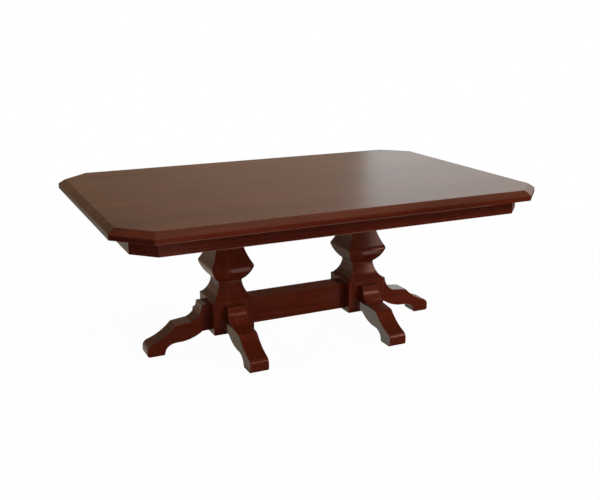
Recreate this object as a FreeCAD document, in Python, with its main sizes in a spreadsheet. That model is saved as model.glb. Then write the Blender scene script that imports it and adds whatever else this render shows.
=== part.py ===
import FreeCAD, Part
import Sketcher

import math
import operator
import os
from types import SimpleNamespace

# Double pedestal dining table: a clipped-corner top on two square posts with three legs each.
# Millimetres. The origin is on the floor under the middle of the top, +X runs along the length,
# -Y is the front and +Z is up.

# Driving dimensions. Each one becomes a cell of the document's sheet.
SIZES = {
    # Top
    "table_height": 762.0,
    "top_length": 2032.0,
    "top_width": 1346.0,
    "corner_clip": 141.0,
    "panel_thickness": 25.0,
    "bevel_width": 30.5,
    "bevel_drop": 20.0,
    "edge_strip_height": 20.0,
    # Apron and its corner braces
    "apron_inset": 82.0,
    "apron_thickness": 22.0,
    "apron_height": 93.5,
    "brace_depth": 48.0,
    "brace_height": 45.0,
    # Bearers on the posts and battens across the top
    "bearer_width": 150.0,
    "bearer_height": 45.0,
    "bearer_end_gap": 69.0,
    "bearer_end_bevel": 28.0,
    "batten_width": 70.0,
    "batten_height": 25.0,
    "batten_end_bevel": 12.0,
    "batten_offset": 646.0,
    # Posts
    "pedestal_spacing": 716.0,
    "post_width": 202.0,
    "column_width": 211.0,
    "post_floor_gap": 79.0,
    "block_reveal": 21.0,
    # Legs, stretcher and their joints
    "leg_length": 309.0,
    "leg_thickness": 91.0,
    "leg_top": 222.0,
    "dowel_diameter": 12.0,
    "dowel_length": 80.0,
    "stretcher_width": 100.0,
    "stretcher_height": 130.0,
    "tenon_width": 46.0,
    "tenon_height": 90.0,
    "tenon_length": 45.0,
    # Glides under the feet
    "glide_diameter": 24.0,
    "glide_thickness": 4.0,
    "glide_stand": 1.5,
    # Bolts and screws
    "bolt_diameter": 10.0,
    "bolt_length": 100.0,
    "bolt_head_diameter": 20.0,
    "bolt_head_height": 7.0,
    "bolt_recess": 9.0,
    "screw_diameter": 5.0,
    "screw_head_diameter": 10.0,
    "screw_head_height": 4.0,
    "screw_grip": 20.0,
    "screw_bite": 14.0,
    # Room in joints, and how far a cut runs past the wood
    "joint_clearance": 0.2,
    "end_clearance": 1.0,
    "overrun": 5.0,
}

# Boards across the top, each of the same width.
BOARD_COUNT = 9
# Places of a bearer's or batten's screws from the table's middle line, over a board's width.
SCREW_PLACE_SHARES = (-3.0, -1.0, 1.0, 3.0)

ROOT_TWO = math.sqrt(2.0)

# Post profile from the block up: half-width over half the column's blank, height over the column's
# height, and rise over chord of the arc that leads to the next point (+ turns left).
POST_PROFILE_SHARES = (
    (0.905, 0.0, -0.091),
    (0.549, 0.175, 0.0),
    (0.556, 0.188, 0.07),
    (0.957, 0.324, 0.157),
    (0.957, 0.373, -0.044),
    (0.585, 0.601, 0.0),
    (0.585, 0.739, -0.095),
    (0.905, 0.871, 0.0),
)

# Leg outline from the foot of its inner end, along the underside to the toe and back over the top:
# distance over the leg's length, height over the leg's top, and rise over chord of the next arc.
LEG_OUTLINE_SHARES = (
    (0.0, 0.41, 0.0),
    (0.125, 0.405, 0.066),
    (0.448, 0.24, 0.0),
    (0.552, 0.235, -0.115),
    (0.707, 0.122, 0.0),
    (0.733, 0.0, 0.0),
    (0.972, 0.0, 0.15),
    (1.0, 0.054, 0.0),
    (1.0, 0.135, 0.15),
    (0.94, 0.275, -0.065),
    (0.572, 0.588, 0.1),
    (0.538, 0.617, 0.0),
    (0.303, 0.655, -0.154),
    (0.128, 1.0, 0.0),
    (0.0, 1.0, 0.0),
)

# Heights of the two dowels over the leg's top, and the glide's place over the leg's length.
DOWEL_HEIGHT_SHARES = (0.5, 0.68)
GLIDE_PLACE_SHARE = 0.867
# Places of the bearer bolts over the post's width.
BOLT_PLACE_SHARE = 0.25
# Places of a brace's screws over its long side, and of their row over its depth.
BRACE_SCREW_SHARES = (0.25, 0.75)
BRACE_ROW_SHARE = 0.5

SIDES = ("front", "front_right", "right", "back_right", "back", "back_left", "left", "front_left")

OPERATIONS = {"+": operator.add, "-": operator.sub, "*": operator.mul, "/": operator.truediv}


class Size:
    """A length that carries its value and its formula in cells of the sheet."""

    def __init__(self, value, formula):
        self.value = value
        self.formula = formula

    def __add__(self, other):
        return combine(self, "+", other)

    def __sub__(self, other):
        return combine(self, "-", other)

    def __mul__(self, other):
        return combine(self, "*", other)

    def __truediv__(self, other):
        return combine(self, "/", other)

    def __neg__(self):
        return combine(0, "-", self)


def as_size(number):
    """Return a Size for a plain number, or the Size itself."""
    return number if isinstance(number, Size) else Size(float(number), f"({float(number)})")


def combine(left, sign, right):
    """Return the Size of two lengths or numbers joined by an arithmetic sign."""
    left = as_size(left)
    right = as_size(right)
    value = OPERATIONS[sign](left.value, right.value)
    return Size(value, f"({left.formula} {sign} {right.formula})")


def distance(start, end):
    """Return the Size of the straight line between two points of an outline."""
    run = end[0] - start[0]
    climb = end[1] - start[1]
    return Size(math.hypot(run.value, climb.value), f"hypot({run.formula}; {climb.formula})")


ZERO = as_size(0)

doc = FreeCAD.newDocument("pedestal_table")
sheet = doc.addObject("Spreadsheet::Sheet", "dims")
for row, (name, number) in enumerate(SIZES.items(), start=1):
    sheet.set(f"A{row}", name)
    sheet.set(f"B{row}", str(number))
    sheet.setAlias(f"B{row}", name)
doc.recompute()
d = SimpleNamespace(**{name: Size(number, f"dims.{name}") for name, number in SIZES.items()})

# Heights and distances that several pieces share.
panel_bottom = d.table_height - d.panel_thickness
edge_bottom = panel_bottom - d.edge_strip_height
bearer_bottom = panel_bottom - d.bearer_height
block_top = d.leg_top + d.block_reveal
column_height = bearer_bottom - block_top
post_half = d.post_width / 2
column_half = d.column_width / 2
post_place = d.pedestal_spacing / 2
apron_inside = d.apron_inset + d.apron_thickness
cross_length = d.top_width - apron_inside * 2 - d.bearer_end_gap * 2
board_width = d.top_width / BOARD_COUNT
pilot_diameter = d.screw_diameter + d.joint_clearance * 2
dowel_bore = d.dowel_diameter + d.joint_clearance * 2
dowel_depth = d.dowel_length / 2 + d.end_clearance
bolt_bore = d.bolt_diameter + d.joint_clearance * 2

nodes = {}


def keep(part, label):
    """Name a finished sub-part, which names its file too."""
    part.Label = label
    nodes[label] = part


def place(part, x=ZERO, y=ZERO, z=ZERO, turn=0.0):
    """Set a sub-part down at a point, turned about the vertical by an angle in degrees."""
    part.Placement = FreeCAD.Placement(
        FreeCAD.Vector(x.value, y.value, z.value), FreeCAD.Rotation(FreeCAD.Vector(0, 0, 1), turn)
    )
    for axis, size in (("x", x), ("y", y), ("z", z)):
        part.setExpression(f"Placement.Base.{axis}", size.formula)


def new_body(name):
    """Return an empty body."""
    return doc.addObject("PartDesign::Body", name)


def new_sketch(body, name, role, offset=ZERO):
    """Return a sketch on one of the body's own origin planes, shifted along the plane's normal."""
    sketch = body.newObject("Sketcher::SketchObject", f"{body.Name}_{name}")
    support = next(item for item in body.Origin.OriginFeatures if item.Role == role)
    sketch.AttachmentSupport = (support, [""])
    sketch.MapMode = "FlatFace"
    sketch.setExpression("AttachmentOffset.Base.z", offset.formula)
    return sketch


def fix_point(sketch, edge, end, point):
    """Tie one end of a sketch edge to a point given from the sketch's origin."""
    for kind, size in (("DistanceX", point[0]), ("DistanceY", point[1])):
        index = sketch.addConstraint(Sketcher.Constraint(kind, -1, 1, edge, end, size.value))
        sketch.setExpression(f"Constraints[{index}]", size.formula)


def arc_between(start, end, rise_share):
    """Return an arc over a chord, its radius, and which of its ends lies at the start."""
    chord = distance(start, end)
    bend = abs(rise_share)
    radius = chord * (1.0 / (8.0 * bend) + bend / 2.0)
    side = math.copysign(1.0, rise_share)
    run = (end[0] - start[0]).value / chord.value
    climb = (end[1] - start[1]).value / chord.value
    reach = radius.value - chord.value * bend
    centre = FreeCAD.Vector(
        (start[0] + end[0]).value / 2.0 - side * climb * reach,
        (start[1] + end[1]).value / 2.0 + side * run * reach,
        0,
    )
    angles = [math.atan2(p[1].value - centre.y, p[0].value - centre.x) for p in (start, end)]
    circle = Part.Circle(centre, FreeCAD.Vector(0, 0, 1), radius.value)
    if side > 0:
        return Part.ArcOfCircle(circle, angles[0], angles[1]), radius, 1
    return Part.ArcOfCircle(circle, angles[1], angles[0]), radius, 2


def draw_outline(sketch, corners, rises=None):
    """Draw a closed outline of straight and round edges, with every corner tied to the sheet."""
    rises = rises or [0.0] * len(corners)
    ends = []
    for index, start in enumerate(corners):
        end = corners[(index + 1) % len(corners)]
        if rises[index]:
            arc, radius, first = arc_between(start, end, rises[index])
            edge = sketch.addGeometry(arc)
            bend = sketch.addConstraint(Sketcher.Constraint("Radius", edge, radius.value))
            sketch.setExpression(f"Constraints[{bend}]", radius.formula)
        else:
            first = 1
            points = [FreeCAD.Vector(x.value, y.value, 0) for x, y in (start, end)]
            edge = sketch.addGeometry(Part.LineSegment(*points))
        ends.append((edge, first, 3 - first))
    for index, corner in enumerate(corners):
        edge, first, _ = ends[index]
        previous, _, last = ends[index - 1]
        sketch.addConstraint(Sketcher.Constraint("Coincident", previous, last, edge, first))
        fix_point(sketch, edge, first, corner)


def draw_box(sketch, half_width, low, high):
    """Draw a rectangle that is centred across the sketch and runs from low to high."""
    draw_outline(sketch, [(-half_width, low), (half_width, low), (half_width, high), (-half_width, high)])


def draw_circles(sketch, centres, diameter):
    """Draw circles of one diameter at the given centres."""
    for centre in centres:
        middle = FreeCAD.Vector(centre[0].value, centre[1].value, 0)
        circle = Part.Circle(middle, FreeCAD.Vector(0, 0, 1), diameter.value / 2.0)
        edge = sketch.addGeometry(circle)
        index = sketch.addConstraint(Sketcher.Constraint("Diameter", edge, diameter.value))
        sketch.setExpression(f"Constraints[{index}]", diameter.formula)
        fix_point(sketch, edge, 3, centre)


def pad(body, sketch, length, symmetric=False):
    """Raise a sketch into wood, upwards from its plane or to both sides of it."""
    feature = body.newObject("PartDesign::Pad", f"{sketch.Name}_pad")
    feature.Profile = sketch
    feature.setExpression("Length", length.formula)
    feature.SideType = "Symmetric" if symmetric else "One side"
    doc.recompute()


def cut(body, sketch, depth, reverse=False, symmetric=False):
    """Cut a sketch into the wood, against its plane's normal, along it, or to both sides."""
    before = body.Shape.Volume
    feature = body.newObject("PartDesign::Pocket", f"{sketch.Name}_cut")
    feature.Profile = sketch
    feature.setExpression("Length", depth.formula)
    feature.Reversed = reverse
    feature.SideType = "Symmetric" if symmetric else "One side"
    doc.recompute()
    if not body.Shape.Volume < before:
        raise RuntimeError(f"{feature.Name} cuts nothing")


def drill(body, name, role, offset, centres, diameter, depth, reverse=False):
    """Drill holes of one size from a plane of the body."""
    sketch = new_sketch(body, name, role, offset)
    draw_circles(sketch, centres, diameter)
    cut(body, sketch, depth, reverse)


def rim_corners(inset):
    """Return the eight corners of the top's outline, moved inwards, from the front's left end."""
    half_length = d.top_length / 2 - inset
    half_width = d.top_width / 2 - inset
    clip = d.corner_clip - inset * (2.0 - ROOT_TWO)
    long_end = half_length - clip
    wide_end = half_width - clip
    return [
        (-long_end, -half_width),
        (long_end, -half_width),
        (half_length, -wide_end),
        (half_length, wide_end),
        (long_end, half_width),
        (-long_end, half_width),
        (-half_length, wide_end),
        (-half_length, -wide_end),
    ]


def rim_pieces(stem, outer_inset, inner_inset, bottom, height):
    """Make the eight mitred pieces that run round the rim between two insets."""
    outer = rim_corners(outer_inset)
    inner = rim_corners(inner_inset)
    for index, side in enumerate(SIDES):
        following = (index + 1) % len(SIDES)
        body = new_body(f"{stem}_{side}")
        sketch = new_sketch(body, "plan", "XY_Plane", bottom)
        draw_outline(sketch, [outer[index], outer[following], inner[following], inner[index]])
        pad(body, sketch, height)
        keep(body, f"{stem}_{side}")


def fasteners(label, head_diameter, head_height, shank_diameter, shank_length, places, upwards):
    """Make a group of like fasteners, each with its head's seat at a place and its shank in line."""
    way = FreeCAD.Vector(0, 0, 1 if upwards else -1)
    solids = []
    for x, y, z in places:
        seat = FreeCAD.Vector(x.value, y.value, z.value)
        shank = Part.makeCylinder(shank_diameter.value / 2.0, shank_length.value, seat, way)
        head = Part.makeCylinder(head_diameter.value / 2.0, head_height.value, seat, -way)
        solids.append(head.fuse(shank).removeSplitter())
    group = doc.addObject("Part::Feature", label)
    group.Shape = Part.makeCompound(solids)
    group.Placement = FreeCAD.Placement()
    keep(group, label)


def brace_plan(side):
    """Return a corner brace's four corners in plan: two on the short rail, two on the long ones."""
    corners = rim_corners(apron_inside)
    index = SIDES.index(side)
    start = corners[index]
    end = corners[(index + 1) % len(SIDES)]
    reach = d.brace_depth * ROOT_TWO
    runs_along_x = side in ("front_right", "back_left")
    way_x = -1 if "right" in side else 1
    way_y = 1 if "front" in side else -1
    shift_x = (reach * way_x, ZERO)
    shift_y = (ZERO, reach * way_y)
    first, last = (shift_x, shift_y) if runs_along_x else (shift_y, shift_x)
    far_end = (end[0] + last[0], end[1] + last[1])
    far_start = (start[0] + first[0], start[1] + first[1])
    return [start, end, far_end, far_start]


def between(start, end, share):
    """Return the point at a share of the way from one point to another."""
    return tuple(a + (b - a) * share for a, b in zip(start, end))


def brace_screw_places(side):
    """Return where the two screws stand in a corner brace."""
    start, end, far_end, far_start = brace_plan(side)
    row_start = between(start, far_start, BRACE_ROW_SHARE)
    row_end = between(end, far_end, BRACE_ROW_SHARE)
    return [between(row_start, row_end, share) for share in BRACE_SCREW_SHARES]


def cross_screw_places(x):
    """Return where the screws of a cross piece stand, one in the middle of every held board."""
    return [(x, board_width * share) for share in SCREW_PLACE_SHARES]


CORNERS = ("front_right", "back_right", "back_left", "front_left")
BATTENS = {"left": -d.batten_offset, "middle": ZERO, "right": d.batten_offset}
PEDESTALS = {"left": -post_place, "right": post_place}

# Every screw that holds the top, grouped by the piece that it passes through.
bearer_screws = [spot for x in PEDESTALS.values() for spot in cross_screw_places(x)]
batten_screws = [spot for x in BATTENS.values() for spot in cross_screw_places(x)]
brace_screws = [spot for side in CORNERS for spot in brace_screw_places(side)]


def make_top():
    """Make the glued-up top: a clipped blank with a bevelled rim, parted into its boards."""
    blank = new_body("top_blank")
    lower = new_sketch(blank, "outline", "XY_Plane", panel_bottom)
    draw_outline(lower, rim_corners(ZERO))
    pad(blank, lower, d.panel_thickness - d.bevel_drop)
    foot = new_sketch(blank, "bevel_foot", "XY_Plane", d.table_height - d.bevel_drop)
    draw_outline(foot, rim_corners(ZERO))
    head = new_sketch(blank, "bevel_head", "XY_Plane", d.table_height)
    draw_outline(head, rim_corners(d.bevel_width))
    bevel = blank.newObject("PartDesign::AdditiveLoft", "bevelled_rim")
    bevel.Profile = foot
    bevel.Sections = [head]
    bevel.Ruled = True
    doc.recompute()
    pilots = bearer_screws + batten_screws + brace_screws
    pilot_depth = d.screw_bite + d.end_clearance
    drill(blank, "pilot_holes", "XY_Plane", panel_bottom, pilots, pilot_diameter, pilot_depth, reverse=True)
    for number in range(BOARD_COUNT):
        span = doc.addObject("Part::Box", f"board_span_{number + 1}")
        span.setExpression("Length", d.top_length.formula)
        span.setExpression("Width", board_width.formula)
        span.setExpression("Height", d.panel_thickness.formula)
        place(span, -d.top_length / 2, board_width * number - d.top_width / 2, panel_bottom)
        board = doc.addObject("Part::Common", f"top_board_{number + 1}")
        board.Base = blank
        board.Tool = span
        keep(board, f"top_board_{number + 1}")


def make_rim():
    """Make the built-up edge, the apron behind it and the braces in the apron's corners."""
    rim_pieces("edge_strip", ZERO, d.apron_inset, edge_bottom, d.edge_strip_height)
    apron_bottom = panel_bottom - d.apron_height
    rim_pieces("apron", d.apron_inset, apron_inside, apron_bottom, d.apron_height)
    brace_bottom = panel_bottom - d.brace_height
    for side in CORNERS:
        body = new_body(f"corner_brace_{side}")
        sketch = new_sketch(body, "plan", "XY_Plane", brace_bottom)
        draw_outline(sketch, brace_plan(side))
        pad(body, sketch, d.brace_height)
        drill_for_screws(body, brace_screw_places(side), brace_bottom, d.brace_height)
        keep(body, f"corner_brace_{side}")


def drill_for_screws(body, places, bottom, height):
    """Drill a piece under the top right through, with a wider recess for each screw's head."""
    recess = d.screw_head_diameter + d.end_clearance * 2
    drill(body, "screw_holes", "XY_Plane", bottom, places, pilot_diameter, height, reverse=True)
    drill(body, "recesses", "XY_Plane", bottom, places, recess, height - d.screw_grip, reverse=True)


def cross_piece(name, x, width, height, end_bevel):
    """Return a bar that lies across the table under the top, with bevelled lower ends."""
    body = new_body(name)
    bottom = panel_bottom - height
    half = cross_length / 2
    sketch = new_sketch(body, "side", "YZ_Plane", x)
    draw_outline(
        sketch,
        [
            (end_bevel - half, bottom),
            (half - end_bevel, bottom),
            (half, bottom + end_bevel),
            (half, panel_bottom),
            (-half, panel_bottom),
            (-half, bottom + end_bevel),
        ],
    )
    pad(body, sketch, width, symmetric=True)
    drill_for_screws(body, cross_screw_places(x), bottom, height)
    return body


def bolt_places(x):
    """Return where the four bolts of a post stand."""
    reach = d.post_width * BOLT_PLACE_SHARE
    return [(x + reach * across, reach * along) for across in (-1, 1) for along in (-1, 1)]


def make_cross_pieces():
    """Make the bearers, drilled for their bolts, and the battens."""
    for side, x in PEDESTALS.items():
        body = cross_piece(f"bearer_{side}", x, d.bearer_width, d.bearer_height, d.bearer_end_bevel)
        head_room = d.bolt_head_diameter + d.end_clearance * 2
        drill(body, "bolt_holes", "XY_Plane", panel_bottom, bolt_places(x), bolt_bore, d.bearer_height)
        drill(body, "bolt_recesses", "XY_Plane", panel_bottom, bolt_places(x), head_room, d.bolt_recess)
        keep(body, f"bearer_{side}")
    for side, x in BATTENS.items():
        body = cross_piece(f"batten_{side}", x, d.batten_width, d.batten_height, d.batten_end_bevel)
        keep(body, f"batten_{side}")


def saw_profile(body, name, role):
    """Saw the post's profile right through the column's square blank, on both edges of one face."""
    for side in (-1, 1):
        clear = (column_half + d.overrun) * side
        foot = block_top
        corners = [(clear, foot)]
        rises = [0.0]
        for half_share, height_share, rise in POST_PROFILE_SHARES:
            corners.append((column_half * half_share * side, foot + column_height * height_share))
            rises.append(rise * side)
        corners.append((clear, corners[-1][1]))
        rises.append(0.0)
        sketch = new_sketch(body, f"{name}_{'right' if side > 0 else 'left'}", role)
        draw_outline(sketch, corners, rises)
        cut(body, sketch, (column_half + d.overrun) * 2, symmetric=True)


def make_post(side, x):
    """Make a post from its block and column: profile on the column's four faces, mortise, and bores."""
    inner = 1 if side == "left" else -1
    body = new_body(f"post_{side}")
    block = new_sketch(body, "block", "XY_Plane", d.post_floor_gap)
    draw_box(block, post_half, -post_half, post_half)
    pad(body, block, block_top - d.post_floor_gap)
    column = new_sketch(body, "column", "XY_Plane", block_top)
    draw_box(column, column_half, -column_half, column_half)
    pad(body, column, column_height)
    saw_profile(body, "front_saw", "XZ_Plane")
    saw_profile(body, "side_saw", "YZ_Plane")
    heights = [d.leg_top * share for share in DOWEL_HEIGHT_SHARES]
    spots = [(ZERO, height) for height in heights]
    drill(body, "outer_bores", "YZ_Plane", -post_half * inner, spots, dowel_bore, dowel_depth, inner > 0)
    drill(body, "front_bores", "XZ_Plane", post_half, spots, dowel_bore, dowel_depth)
    drill(body, "back_bores", "XZ_Plane", -post_half, spots, dowel_bore, dowel_depth, reverse=True)
    mortise = new_sketch(body, "mortise", "YZ_Plane", post_half * inner)
    middle = d.leg_top - d.stretcher_height / 2
    half_height = d.tenon_height / 2 + d.joint_clearance
    draw_box(mortise, d.tenon_width / 2 + d.joint_clearance, middle - half_height, middle + half_height)
    cut(body, mortise, d.tenon_length + d.end_clearance, reverse=inner < 0)
    bolt_depth = d.bolt_length - d.bearer_height + d.bolt_recess + d.end_clearance
    drill(body, "bolt_bores", "XY_Plane", bearer_bottom, bolt_places(ZERO), bolt_bore, bolt_depth)
    place(body, x)
    keep(body, f"post_{side}")


LEG_TURNS = {"outer": {"left": 180.0, "right": 0.0}, "front": -90.0, "back": 90.0}


def leg_turn(side, way):
    """Return the direction in degrees that a leg points in."""
    turn = LEG_TURNS[way]
    return turn[side] if isinstance(turn, dict) else turn


def make_leg(side, way, x):
    """Make a leg: a sawn outline with two dowel bores in its inner end and a seat for its glide."""
    turn = leg_turn(side, way)
    body = new_body(f"leg_{side}_{way}")
    sketch = new_sketch(body, "outline", "XZ_Plane")
    rise = d.leg_top - d.glide_stand
    corners = [(d.leg_length * u, d.glide_stand + rise * z) for u, z, _ in LEG_OUTLINE_SHARES]
    draw_outline(sketch, corners, [bend for _, _, bend in LEG_OUTLINE_SHARES])
    pad(body, sketch, d.leg_thickness, symmetric=True)
    spots = [(ZERO, d.leg_top * share) for share in DOWEL_HEIGHT_SHARES]
    drill(body, "bores", "YZ_Plane", ZERO, spots, dowel_bore, dowel_depth, reverse=True)
    seat = [(d.leg_length * GLIDE_PLACE_SHARE, ZERO)]
    seat_diameter = d.glide_diameter + d.joint_clearance * 2
    seat_depth = d.glide_thickness - d.glide_stand
    drill(body, "glide_seat", "XY_Plane", d.glide_stand, seat, seat_diameter, seat_depth, reverse=True)
    out_x = round(math.cos(math.radians(turn)))
    out_y = round(math.sin(math.radians(turn)))
    place(body, x + post_half * out_x, post_half * out_y, ZERO, turn)
    keep(body, f"leg_{side}_{way}")


def leg_hardware(side, x):
    """Make the dowels that hold a post's legs, and the glides under their feet."""
    dowels = []
    glides = []
    for way in LEG_TURNS:
        turn = math.radians(leg_turn(side, way))
        out = FreeCAD.Vector(round(math.cos(turn)), round(math.sin(turn)), 0)
        axis = FreeCAD.Vector(x.value, 0, 0)
        inner_end = axis + out * (post_half - d.dowel_length / 2).value
        for share in DOWEL_HEIGHT_SHARES:
            foot = inner_end + FreeCAD.Vector(0, 0, (d.leg_top * share).value)
            dowels.append(Part.makeCylinder(d.dowel_diameter.value / 2.0, d.dowel_length.value, foot, out))
        spot = axis + out * (post_half + d.leg_length * GLIDE_PLACE_SHARE).value
        glides.append(Part.makeCylinder(d.glide_diameter.value / 2.0, d.glide_thickness.value, spot))
    for stem, solids in (("leg_dowels", dowels), ("foot_glides", glides)):
        group = doc.addObject("Part::Feature", f"{stem}_{side}")
        group.Shape = Part.makeCompound(solids)
        group.Placement = FreeCAD.Placement()
        keep(group, f"{stem}_{side}")


def make_stretcher():
    """Make the stretcher between the posts, with a stub tenon on each end."""
    body = new_body("stretcher")
    bottom = d.leg_top - d.stretcher_height
    bar = new_sketch(body, "bar", "YZ_Plane")
    draw_box(bar, d.stretcher_width / 2, bottom, d.leg_top)
    clear_length = d.pedestal_spacing - d.post_width
    pad(body, bar, clear_length, symmetric=True)
    tenons = new_sketch(body, "tenons", "YZ_Plane")
    middle = d.leg_top - d.stretcher_height / 2
    draw_box(tenons, d.tenon_width / 2, middle - d.tenon_height / 2, middle + d.tenon_height / 2)
    pad(body, tenons, clear_length + d.tenon_length * 2, symmetric=True)
    keep(body, "stretcher")


def make_fasteners():
    """Make the bolts through the bearers and the screws up into the top."""
    for side, x in PEDESTALS.items():
        seat = panel_bottom - d.bolt_recess
        fasteners(
            f"bearer_bolts_{side}",
            d.bolt_head_diameter,
            d.bolt_head_height,
            d.bolt_diameter,
            d.bolt_length,
            [(spot_x, spot_y, seat) for spot_x, spot_y in bolt_places(x)],
            upwards=False,
        )
    groups = (("bearer_screws", bearer_screws), ("batten_screws", batten_screws), ("brace_screws", brace_screws))
    for label, places in groups:
        fasteners(
            label,
            d.screw_head_diameter,
            d.screw_head_height,
            d.screw_diameter,
            d.screw_grip + d.screw_bite,
            [(x, y, panel_bottom - d.screw_grip) for x, y in places],
            upwards=True,
        )


def check_document():
    """Stop if any object failed or any sub-part is not made of sound solids."""
    for item in doc.Objects:
        if "Invalid" in item.State or "Error" in item.State:
            raise RuntimeError(f"{item.Name} failed: {item.State}")
    for label, part in nodes.items():
        shape = part.Shape
        if shape.isNull() or not shape.isValid() or not shape.Solids:
            raise RuntimeError(f"{label} has no sound solid")


def write_parts():
    """Write every sub-part to a file of its own."""
    os.makedirs("parts", exist_ok=True)
    for label, part in nodes.items():
        part.Shape.exportStep(os.path.join("parts", f"{label}.step"))


make_top()
make_rim()
make_cross_pieces()
for side, x in PEDESTALS.items():
    make_post(side, x)
    for way in LEG_TURNS:
        make_leg(side, way, x)
    leg_hardware(side, x)
make_stretcher()
make_fasteners()
doc.recompute()
check_document()
write_parts()
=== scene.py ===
"""Dresses the double pedestal dining table and sets it in a plain studio.

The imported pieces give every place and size. The visible wood is made again with eased arrises and a
stained, lacquered finish, the hardware is repeated by geometry nodes, and the rest is finished in place.
"""

import logging
import math
from collections.abc import Callable, Sequence
from dataclasses import dataclass
from enum import Enum, StrEnum

import bmesh
import bpy
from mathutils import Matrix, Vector


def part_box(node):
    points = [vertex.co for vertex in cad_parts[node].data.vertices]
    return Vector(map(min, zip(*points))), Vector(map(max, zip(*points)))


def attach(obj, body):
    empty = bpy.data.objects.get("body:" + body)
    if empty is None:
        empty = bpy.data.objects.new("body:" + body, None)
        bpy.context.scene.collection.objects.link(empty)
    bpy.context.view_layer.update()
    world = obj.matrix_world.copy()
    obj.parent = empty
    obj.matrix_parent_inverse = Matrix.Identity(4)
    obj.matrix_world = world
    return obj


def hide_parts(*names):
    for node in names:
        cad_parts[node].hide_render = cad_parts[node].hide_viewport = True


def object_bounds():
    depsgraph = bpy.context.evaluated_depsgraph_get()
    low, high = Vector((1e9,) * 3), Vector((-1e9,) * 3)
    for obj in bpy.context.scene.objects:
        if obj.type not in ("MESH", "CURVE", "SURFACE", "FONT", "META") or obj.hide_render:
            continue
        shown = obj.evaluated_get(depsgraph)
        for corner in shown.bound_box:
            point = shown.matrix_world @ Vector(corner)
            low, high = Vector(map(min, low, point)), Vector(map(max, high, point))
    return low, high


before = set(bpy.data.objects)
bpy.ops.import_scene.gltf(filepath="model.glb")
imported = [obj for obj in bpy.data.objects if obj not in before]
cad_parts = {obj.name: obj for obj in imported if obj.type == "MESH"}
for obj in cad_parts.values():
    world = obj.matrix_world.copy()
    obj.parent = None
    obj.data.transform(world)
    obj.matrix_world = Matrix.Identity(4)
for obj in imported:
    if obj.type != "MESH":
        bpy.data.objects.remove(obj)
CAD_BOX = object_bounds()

LOG = logging.getLogger("dining_table")
BODY = "root"

Plan = tuple[float, float]
Triple = tuple[float, float, float]
Colour = Triple
Number = "Wire | float"

SIDES = ("front", "front_right", "right", "back_right", "back", "back_left", "left", "front_left")
SIDE_TURN = math.tau / len(SIDES)
MITRE_TURN = SIDE_TURN / 2
QUARTER_TURN = math.pi / 2.0

# A corner of an outline counts as one from this turn on, gets this many edges when it is eased, and takes
# at most this share of the sides next to it.
CORNER_TURN = math.radians(14.0)
EASE_STEPS = 4
EASE_REACH = 0.45
# An arc's edges are about this long.
ARC_EDGE = 0.007
# Faces narrower than this, across a turn of at least this much, belong to an arris.
ARRIS_WIDTH = 0.0025
ARRIS_TURN = math.radians(8.0)
# Edges of the wood that turn more than this stay crisp.
SHARP_TURN = math.radians(50.0)
# Turned hardware has this many faces, a bolt's head this many, and edges sharper than this stay crisp.
ROUND_SIDES = 24
HEX_SIDES = 6
TURNED_SHARP = math.radians(20.0)
# Least climb between two points of a guide, which keeps a level ledge in order.
LEAST_CLIMB = 0.00002
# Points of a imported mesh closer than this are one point.
MERGE_DISTANCE = 0.000001
# Width of the camera's sensor in millimetres.
SENSOR_WIDTH = 36.0
WHITE = (1.0, 1.0, 1.0)


def opaque(colour: Colour) -> tuple[float, float, float, float]:
    """Return a colour with full alpha."""
    return (*colour, 1.0)


def arc_points(start: Plan, end: Plan, rise_share: float, steps: int | None = None) -> list[Plan]:
    """Return points on an arc over a chord.

    Args:
        start: where the arc starts.
        end: where it ends; this point is left out.
        rise_share: rise over chord, positive where the arc turns left.
        steps: number of points, or none to take it from the arc's length.

    Returns:
        The points from the start on.
    """
    if rise_share == 0.0:
        return [start]
    run = end[0] - start[0]
    climb = end[1] - start[1]
    chord = math.hypot(run, climb)
    half_angle = 2.0 * math.atan(2.0 * rise_share)
    reach = chord / (2.0 * math.tan(half_angle))
    if steps is None:
        steps = max(2, round(chord / ARC_EDGE))
    centre_x = (start[0] + end[0]) / 2.0 - climb / chord * reach
    centre_y = (start[1] + end[1]) / 2.0 + run / chord * reach
    across = start[0] - centre_x
    up = start[1] - centre_y
    points = []
    for step in range(steps):
        angle = 2.0 * half_angle * step / steps
        x = centre_x + across * math.cos(angle) - up * math.sin(angle)
        y = centre_y + across * math.sin(angle) + up * math.cos(angle)
        points.append((x, y))
    return points


def through(knots: Sequence[Triple]) -> list[Plan]:
    """Return the points of a row of arcs.

    Args:
        knots: the arcs' ends, each with the rise over chord of the arc to the next.

    Returns:
        The points from the first knot to the last.
    """
    points = []
    for knot, following in zip(knots, knots[1:]):
        points += arc_points(knot[:2], following[:2], knot[2])
    return points + [knots[-1][:2]]


def ease(points: Sequence[Plan], radii: Sequence[float]) -> list[Plan]:
    """Round the corners of a closed outline.

    Args:
        points: the outline's points in order.
        radii: the radius at each point; a gentle turn or a radius of zero stays as it is.

    Returns:
        The outline with an arc in place of each rounded corner.
    """
    eased = []
    for index, corner in enumerate(points):
        before = Vector(points[index - 1]) - Vector(corner)
        after = Vector(points[(index + 1) % len(points)]) - Vector(corner)
        turn = math.pi - before.angle(after, math.pi)
        if radii[index] == 0.0 or turn < CORNER_TURN:
            eased.append(corner)
            continue
        room = EASE_REACH * min(before.length, after.length)
        reach = min(radii[index] * math.tan(turn / 2.0), room)
        start = Vector(corner) + before.normalized() * reach
        end = Vector(corner) + after.normalized() * reach
        side = 1.0 if after.x * before.y - after.y * before.x > 0.0 else -1.0
        eased += arc_points(tuple(start), tuple(end), side * math.tan(turn / 4.0) / 2.0, EASE_STEPS)
        eased.append(tuple(end))
    return eased


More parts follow.
